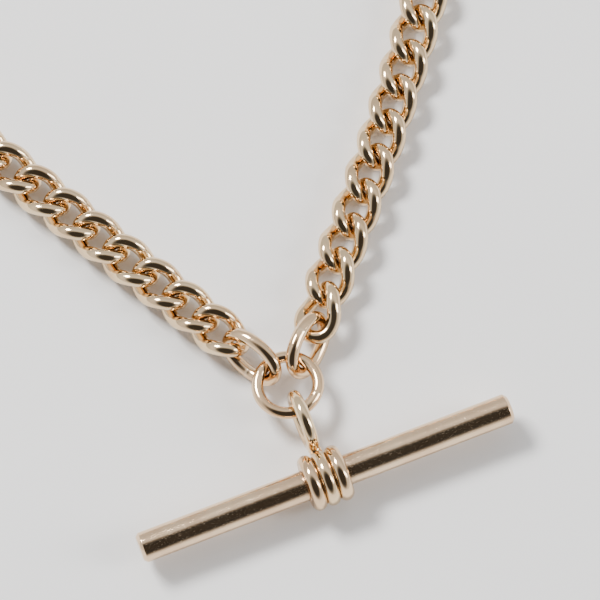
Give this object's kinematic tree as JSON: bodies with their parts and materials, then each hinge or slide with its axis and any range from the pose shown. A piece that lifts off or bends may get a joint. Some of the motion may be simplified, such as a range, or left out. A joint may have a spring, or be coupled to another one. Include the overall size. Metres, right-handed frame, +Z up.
{
  "type": "pocket watch chain",
  "caption": "Double Albert watch chain in rose gold: a toggle bar on a jump ring, two arms of curb links, and a swivel clip at the end of each arm.",
  "frame": {"origin": "middle of the toggle bar, on its axis", "axes": "+X along the toggle bar, +Y from the bar towards the jump ring and the two arms, +Z up from the surface the chain lies on"},
  "size_m": [0.2527, 0.1465, 0.0063],
  "materials": {
    "rose_gold": "polished",
    "red_gold": "polished",
    "spring_steel": "satin"
  },
  "bodies": {
    "jump_ring": {"jump_ring": "red_gold"},
    "bail": {"bail_loop": "rose_gold"},
    "toggle": {"toggle_bar": "rose_gold", "left_collar_ring": "red_gold", "right_collar_ring": "red_gold"},
    "left_oval_link": {"left_oval_link": "red_gold"},
    "left_link_01": {"left_link_01": "rose_gold"},
    "left_link_02": {"left_link_02": "rose_gold"},
    "left_link_03": {"left_link_03": "rose_gold"},
    "left_link_04": {"left_link_04": "rose_gold"},
    "left_link_05": {"left_link_05": "rose_gold"},
    "left_link_06": {"left_link_06": "rose_gold"},
    "left_link_07": {"left_link_07": "rose_gold"},
    "left_link_08": {"left_link_08": "rose_gold"},
    "left_link_09": {"left_link_09": "rose_gold"},
    "left_link_10": {"left_link_10": "rose_gold"},
    "left_link_11": {"left_link_11": "rose_gold"},
    "left_link_12": {"left_link_12": "rose_gold"},
    "left_run_1": {"left_run_1": "rose_gold"},
    "left_run_2": {"left_run_2": "rose_gold"},
    "left_run_3": {"left_run_3": "rose_gold"},
    "left_run_4": {"left_run_4": "rose_gold"},
    "left_run_5": {"left_run_5": "rose_gold"},
    "left_run_6": {"left_run_6": "rose_gold"},
    "left_run_7": {"left_run_7": "rose_gold"},
    "left_run_8": {"left_run_8": "rose_gold"},
    "left_end_ring": {"left_end_ring": "red_gold"},
    "left_eye": {"left_swivel_eye": "red_gold"},
    "left_hook": {"left_hook_body": "rose_gold", "left_gate_pin": "red_gold"},
    "left_gate": {"left_gate": "rose_gold", "left_gate_spring": "spring_steel"},
    "right_oval_link": {"right_oval_link": "red_gold"},
    "right_link_01": {"right_link_01": "rose_gold"},
    "right_link_02": {"right_link_02": "rose_gold"},
    "right_link_03": {"right_link_03": "rose_gold"},
    "right_link_04": {"right_link_04": "rose_gold"},
    "right_link_05": {"right_link_05": "rose_gold"},
    "right_link_06": {"right_link_06": "rose_gold"},
    "right_link_07": {"right_link_07": "rose_gold"},
    "right_link_08": {"right_link_08": "rose_gold"},
    "right_link_09": {"right_link_09": "rose_gold"},
    "right_link_10": {"right_link_10": "rose_gold"},
    "right_link_11": {"right_link_11": "rose_gold"},
    "right_link_12": {"right_link_12": "rose_gold"},
    "right_run_1": {"right_run_1": "rose_gold"},
    "right_run_2": {"right_run_2": "rose_gold"},
    "right_run_3": {"right_run_3": "rose_gold"},
    "right_run_4": {"right_run_4": "rose_gold"},
    "right_run_5": {"right_run_5": "rose_gold"},
    "right_run_6": {"right_run_6": "rose_gold"},
    "right_run_7": {"right_run_7": "rose_gold"},
    "right_run_8": {"right_run_8": "rose_gold"},
    "right_end_ring": {"right_end_ring": "red_gold"},
    "right_eye": {"right_swivel_eye": "red_gold"},
    "right_hook": {"right_hook_body": "rose_gold", "right_gate_pin": "red_gold"},
    "right_gate": {"right_gate": "rose_gold", "right_gate_spring": "spring_steel"}
  },
  "joints": [
    {"name": "bail_swing", "type": "hinge", "parent": "jump_ring", "child": "bail", "pos_m": [0, 0.00661, 0.00026], "axis": [1, 0, 0], "range_deg": [-30, 60]},
    {"name": "toggle_turn", "type": "hinge", "parent": "bail", "child": "toggle", "pos_m": [0, 0, 0], "axis": [1, 0, 0], "continuous": true},
    {"name": "left_oval_swing", "type": "hinge", "parent": "jump_ring", "child": "left_oval_link", "pos_m": [-0.00132, 0.01172, -0.00046], "axis": [-0.8766, -0.4765, 0.067], "range_deg": [-25, 21]},
    {"name": "left_link_01_bend", "type": "hinge", "parent": "left_oval_link", "child": "left_link_01", "pos_m": [-0.00269, 0.01419, -0.00074], "axis": [-0.5706, -0.2968, 0.7657], "range_deg": [-12, 12]},
    {"name": "left_link_02_bend", "type": "hinge", "parent": "left_link_01", "child": "left_link_02", "pos_m": [-0.00511, 0.01845, -0.00088], "axis": [-0.5483, -0.3362, -0.7657], "range_deg": [-12, 12]},
    {"name": "left_link_03_bend", "type": "hinge", "parent": "left_link_02", "child": "left_link_03", "pos_m": [-0.00616, 0.02031, -0.00095], "axis": [0.5706, 0.2968, -0.7657], "range_deg": [-12, 12]},
    {"name": "left_link_04_bend", "type": "hinge", "parent": "left_link_03", "child": "left_link_04", "pos_m": [-0.00857, 0.02458, -0.00109], "axis": [0.5483, 0.3362, 0.7657], "range_deg": [-12, 12]},
    {"name": "left_link_05_bend", "type": "hinge", "parent": "left_link_04", "child": "left_link_05", "pos_m": [-0.00962, 0.02644, -0.00107], "axis": [-0.5595, -0.3165, 0.766], "range_deg": [-12, 12]},
    {"name": "left_link_06_bend", "type": "hinge", "parent": "left_link_05", "child": "left_link_06", "pos_m": [-0.01204, 0.0307, -0.00107], "axis": [-0.5595, -0.3165, -0.766], "range_deg": [-12, 12]},
    {"name": "left_link_07_bend", "type": "hinge", "parent": "left_link_06", "child": "left_link_07", "pos_m": [-0.01309, 0.03257, -0.00107], "axis": [0.5595, 0.3165, -0.766], "range_deg": [-12, 12]},
    {"name": "left_link_08_bend", "type": "hinge", "parent": "left_link_07", "child": "left_link_08", "pos_m": [-0.0155, 0.03683, -0.00107], "axis": [0.5595, 0.3165, 0.766], "range_deg": [-12, 12]},
    {"name": "left_link_09_bend", "type": "hinge", "parent": "left_link_08", "child": "left_link_09", "pos_m": [-0.01656, 0.03869, -0.00107], "axis": [-0.5595, -0.3165, 0.766], "range_deg": [-12, 12]},
    {"name": "left_link_10_bend", "type": "hinge", "parent": "left_link_09", "child": "left_link_10", "pos_m": [-0.01897, 0.04296, -0.00107], "axis": [-0.5595, -0.3165, -0.766], "range_deg": [-12, 12]},
    {"name": "left_link_11_bend", "type": "hinge", "parent": "left_link_10", "child": "left_link_11", "pos_m": [-0.02002, 0.04483, -0.00107], "axis": [0.5548, 0.3245, -0.766], "range_deg": [-12, 12]},
    {"name": "left_link_12_bend", "type": "hinge", "parent": "left_link_11", "child": "left_link_12", "pos_m": [-0.02249, 0.04905, -0.00107], "axis": [0.5548, 0.3245, 0.766], "range_deg": [-12, 12]},
    {"name": "left_run_1_bend", "type": "hinge", "parent": "left_link_12", "child": "left_run_1", "pos_m": [-0.0236, 0.05089, -0.00107], "axis": [-0.5453, -0.3403, 0.766], "range_deg": [-12, 12]},
    {"name": "left_run_2_bend", "type": "hinge", "parent": "left_run_1", "child": "left_run_2", "pos_m": [-0.03206, 0.06382, -0.00107], "axis": [-0.5301, -0.3635, -0.766], "range_deg": [-12, 12]},
    {"name": "left_run_3_bend", "type": "hinge", "parent": "left_run_2", "child": "left_run_3", "pos_m": [-0.03962, 0.07403, -0.00107], "axis": [0.5026, 0.4007, -0.766], "range_deg": [-12, 12]},
    {"name": "left_run_4_bend", "type": "hinge", "parent": "left_run_3", "child": "left_run_4", "pos_m": [-0.04951, 0.0859, -0.00107], "axis": [0.4849, 0.422, 0.766], "range_deg": [-12, 12]},
    {"name": "left_run_5_bend", "type": "hinge", "parent": "left_run_4", "child": "left_run_5", "pos_m": [-0.05818, 0.09518, -0.00107], "axis": [-0.4534, -0.4557, 0.766], "range_deg": [-12, 12]},
    {"name": "left_run_6_bend", "type": "hinge", "parent": "left_run_5", "child": "left_run_6", "pos_m": [-0.06938, 0.10584, -0.00107], "axis": [-0.4333, -0.4748, -0.766], "range_deg": [-12, 12]},
    {"name": "left_run_7_bend", "type": "hinge", "parent": "left_run_6", "child": "left_run_7", "pos_m": [-0.07906, 0.11406, -0.00107], "axis": [0.3981, 0.5047, -0.766], "range_deg": [-12, 12]},
    {"name": "left_run_8_bend", "type": "hinge", "parent": "left_run_7", "child": "left_run_8", "pos_m": [-0.0914, 0.12337, -0.00107], "axis": [0.376, 0.5214, 0.766], "range_deg": [-12, 12]},
    {"name": "left_end_ring_swing", "type": "hinge", "parent": "left_run_8", "child": "left_end_ring", "pos_m": [-0.10313, 0.13115, -0.00107], "axis": [-0.3454, -0.5421, -0.766], "range_deg": [-25, 25]},
    {"name": "left_eye_swing", "type": "hinge", "parent": "left_end_ring", "child": "left_eye", "pos_m": [-0.10562, 0.13274, -0.00034], "axis": [-0.2764, -0.6623, 0.6964], "range_deg": [-25, 25]},
    {"name": "left_clip_swivel", "type": "hinge", "parent": "left_eye", "child": "left_hook", "pos_m": [-0.10641, 0.13325, -0.00051], "axis": [-0.8434, 0.5373, 0], "continuous": true},
    {"name": "left_gate_hinge", "type": "hinge", "parent": "left_hook", "child": "left_gate", "pos_m": [-0.11332, 0.13516, -0.00051], "axis": [0, 0, -1], "range_deg": [0, 28], "stiffness_Nm_per_rad": 0.0006, "springref_deg": -20.05},
    {"name": "right_oval_swing", "type": "hinge", "parent": "jump_ring", "child": "right_oval_link", "pos_m": [0.002, 0.0112, -0.00039], "axis": [-0.6856, 0.7209, -0.1013], "range_deg": [-15, 25]},
    {"name": "right_link_01_bend", "type": "hinge", "parent": "right_oval_link", "child": "right_link_01", "pos_m": [0.00375, 0.01283, -0.00068], "axis": [-0.7989, 0.6005, -0.0349], "range_deg": [-12, 1]},
    {"name": "right_link_02_bend", "type": "hinge", "parent": "right_link_01", "child": "right_link_02", "pos_m": [0.0067, 0.01674, -0.00085], "axis": [-0.3934, 0.2581, -0.8824], "range_deg": [-12, 12]},
    {"name": "right_link_03_bend", "type": "hinge", "parent": "right_link_02", "child": "right_link_03", "pos_m": [0.00808, 0.01837, -0.00093], "axis": [0.5296, -0.5069, -0.6802], "range_deg": [-12, 12]},
    {"name": "right_link_04_bend", "type": "hinge", "parent": "right_link_03", "child": "right_link_04", "pos_m": [0.01135, 0.02201, -0.0011], "axis": [0.4236, -0.341, 0.8392], "range_deg": [-12, 12]},
    {"name": "right_link_05_bend", "type": "hinge", "parent": "right_link_04", "child": "right_link_05", "pos_m": [0.01276, 0.02363, -0.00107], "axis": [-0.491, 0.4149, 0.766], "range_deg": [-12, 12]},
    {"name": "right_link_06_bend", "type": "hinge", "parent": "right_link_05", "child": "right_link_06", "pos_m": [0.01592, 0.02737, -0.00107], "axis": [-0.491, 0.4149, -0.766], "range_deg": [-12, 12]},
    {"name": "right_link_07_bend", "type": "hinge", "parent": "right_link_06", "child": "right_link_07", "pos_m": [0.01728, 0.02902, -0.00107], "axis": [0.5031, -0.4001, -0.766], "range_deg": [-12, 12]},
    {"name": "right_link_08_bend", "type": "hinge", "parent": "right_link_07", "child": "right_link_08", "pos_m": [0.02033, 0.03286, -0.00107], "axis": [0.5031, -0.4001, 0.766], "range_deg": [-12, 12]},
    {"name": "right_link_09_bend", "type": "hinge", "parent": "right_link_08", "child": "right_link_09", "pos_m": [0.02164, 0.03455, -0.00107], "axis": [-0.5147, 0.385, 0.766], "range_deg": [-12, 12]},
    {"name": "right_link_10_bend", "type": "hinge", "parent": "right_link_09", "child": "right_link_10", "pos_m": [0.02457, 0.03848, -0.00107], "axis": [-0.5147, 0.385, -0.766], "range_deg": [-12, 12]},
    {"name": "right_link_11_bend", "type": "hinge", "parent": "right_link_10", "child": "right_link_11", "pos_m": [0.02582, 0.04022, -0.00107], "axis": [0.5209, -0.3766, -0.766], "range_deg": [-12, 12]},
    {"name": "right_link_12_bend", "type": "hinge", "parent": "right_link_11", "child": "right_link_12", "pos_m": [0.02869, 0.04419, -0.00107], "axis": [0.5209, -0.3766, 0.766], "range_deg": [-12, 12]},
    {"name": "right_run_1_bend", "type": "hinge", "parent": "right_link_12", "child": "right_run_1", "pos_m": [0.02995, 0.04592, -0.00107], "axis": [-0.5147, 0.385, 0.766], "range_deg": [-12, 12]},
    {"name": "right_run_2_bend", "type": "hinge", "parent": "right_run_1", "child": "right_run_2", "pos_m": [0.03945, 0.05811, -0.00107], "axis": [-0.4989, 0.4053, -0.766], "range_deg": [-12, 12]},
    {"name": "right_run_3_bend", "type": "hinge", "parent": "right_run_2", "child": "right_run_3", "pos_m": [0.04778, 0.0677, -0.00107], "axis": [0.4708, -0.4377, -0.766], "range_deg": [-12, 12]},
    {"name": "right_run_4_bend", "type": "hinge", "parent": "right_run_3", "child": "right_run_4", "pos_m": [0.05853, 0.0788, -0.00107], "axis": [0.4529, -0.4561, 0.766], "range_deg": [-12, 12]},
    {"name": "right_run_5_bend", "type": "hinge", "parent": "right_run_4", "child": "right_run_5", "pos_m": [0.06784, 0.08745, -0.00107], "axis": [-0.4215, 0.4853, 0.766], "range_deg": [-12, 12]},
    {"name": "right_run_6_bend", "type": "hinge", "parent": "right_run_5", "child": "right_run_6", "pos_m": [0.07971, 0.09735, -0.00107], "axis": [-0.4017, 0.5018, -0.766], "range_deg": [-12, 12]},
    {"name": "right_run_7_bend", "type": "hinge", "parent": "right_run_6", "child": "right_run_7", "pos_m": [0.08988, 0.10495, -0.00107], "axis": [0.3673, -0.5275, -0.766], "range_deg": [-12, 12]},
    {"name": "right_run_8_bend", "type": "hinge", "parent": "right_run_7", "child": "right_run_8", "pos_m": [0.10274, 0.11353, -0.00107], "axis": [0.3459, -0.5418, 0.766], "range_deg": [-12, 12]},
    {"name": "right_end_ring_swing", "type": "hinge", "parent": "right_run_8", "child": "right_end_ring", "pos_m": [0.11487, 0.12067, -0.00107], "axis": [-0.3165, 0.5595, -0.766], "range_deg": [-25, 25]},
    {"name": "right_eye_swing", "type": "hinge", "parent": "right_end_ring", "child": "right_eye", "pos_m": [0.11744, 0.12213, -0.00034], "axis": [-0.4551, 0.555, 0.6964], "range_deg": [-25, 25]},
    {"name": "right_clip_swivel", "type": "hinge", "parent": "right_eye", "child": "right_hook", "pos_m": [0.11826, 0.12259, -0.00051], "axis": [0.8704, 0.4924, 0], "continuous": true},
    {"name": "right_gate_hinge", "type": "hinge", "parent": "right_hook", "child": "right_gate", "pos_m": [0.1232, 0.12779, -0.00051], "axis": [0, 0, -1], "range_deg": [0, 28], "stiffness_Nm_per_rad": 0.0006, "springref_deg": -20.05}
  ]
}
